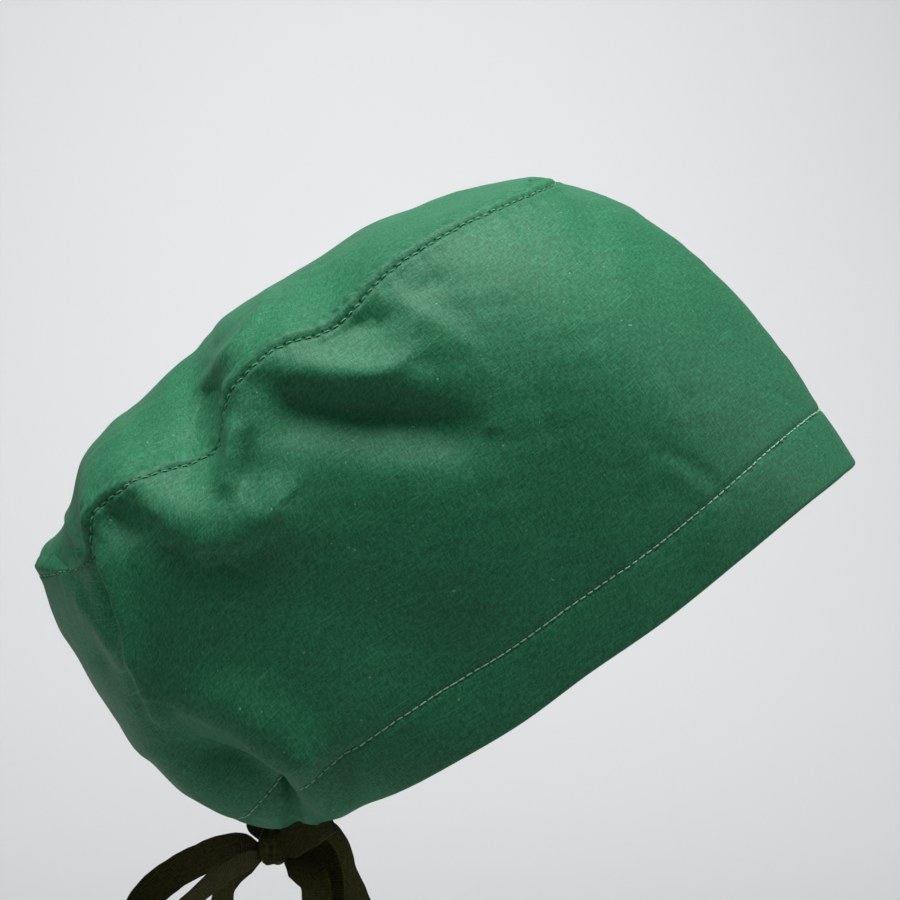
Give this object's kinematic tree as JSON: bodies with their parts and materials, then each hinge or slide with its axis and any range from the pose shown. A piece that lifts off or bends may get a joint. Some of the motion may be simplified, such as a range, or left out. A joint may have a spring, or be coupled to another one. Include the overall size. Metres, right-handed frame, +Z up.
{
  "type": "scrub cap",
  "caption": "Soft cloth scrub cap in its worn shape: oval crown, deep side band, full back pouch, turned hem and a ribbon bow at the nape.",
  "frame": {"origin": "centre of the head opening, where the cap sits on a head", "axes": "+X towards the wearer's front, -Y towards the wearer's right, +Z up"},
  "size_m": [0.2935, 0.1658, 0.3104],
  "materials": {
    "cap_cloth": "plain weave cotton, soft sheen",
    "ribbon": "flat tape with fine cross ribs"
  },
  "bodies": {
    "root": {"crown_panel": "cap_cloth", "side_band": "cap_cloth", "hem_casing": "cap_cloth", "tie_knot": "ribbon", "tie_loop_back": "ribbon", "tie_loop_front": "ribbon", "tie_tail_back": "ribbon", "tie_tail_front": "ribbon", "tie_lead_right": "ribbon", "tie_lead_left": "ribbon"}
  },
  "joints": []
}
